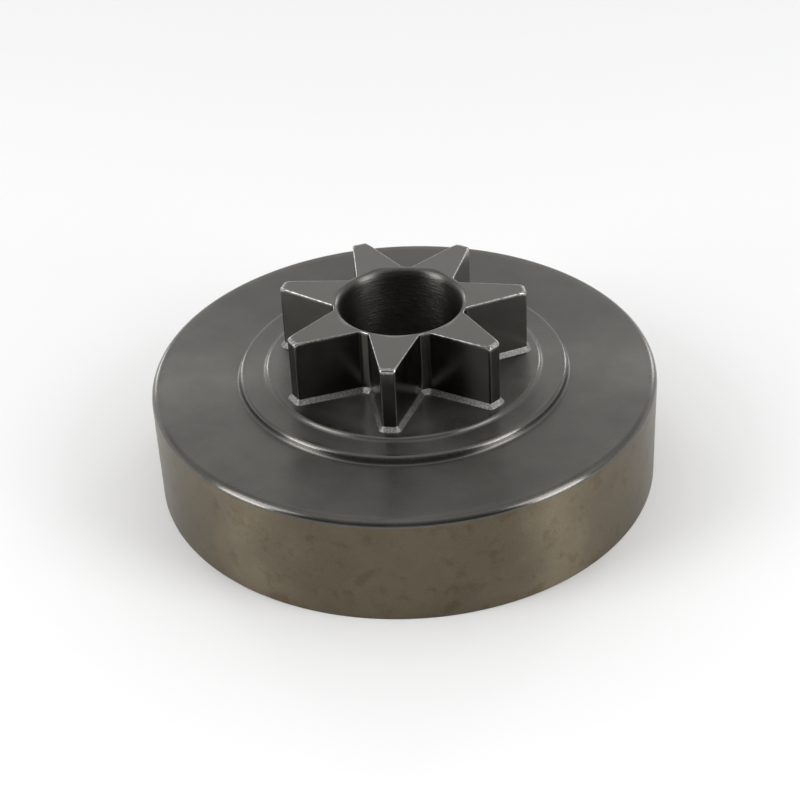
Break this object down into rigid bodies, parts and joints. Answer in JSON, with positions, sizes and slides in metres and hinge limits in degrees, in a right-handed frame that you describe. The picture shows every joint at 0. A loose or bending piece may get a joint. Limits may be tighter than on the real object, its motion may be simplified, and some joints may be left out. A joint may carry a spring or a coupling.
{
  "type": "chainsaw sprocket",
  "caption": "Star-shaped spur sprocket for a saw chain, made in one with its cup-shaped clutch drum, with a plain central bore.",
  "frame": {"origin": "on the axis, in the plane of the drum's open rim, which it stands on", "axes": "+Z along the axis, from the open rim towards the star's end face; -Y through the middle of one tooth"},
  "size_m": [0.076, 0.076, 0.0289],
  "materials": {
    "steel": "dark satin steel with an oiled sheen, worn bright along the star's edges"
  },
  "bodies": {
    "root": {"sprocket": "steel"}
  },
  "joints": []
}
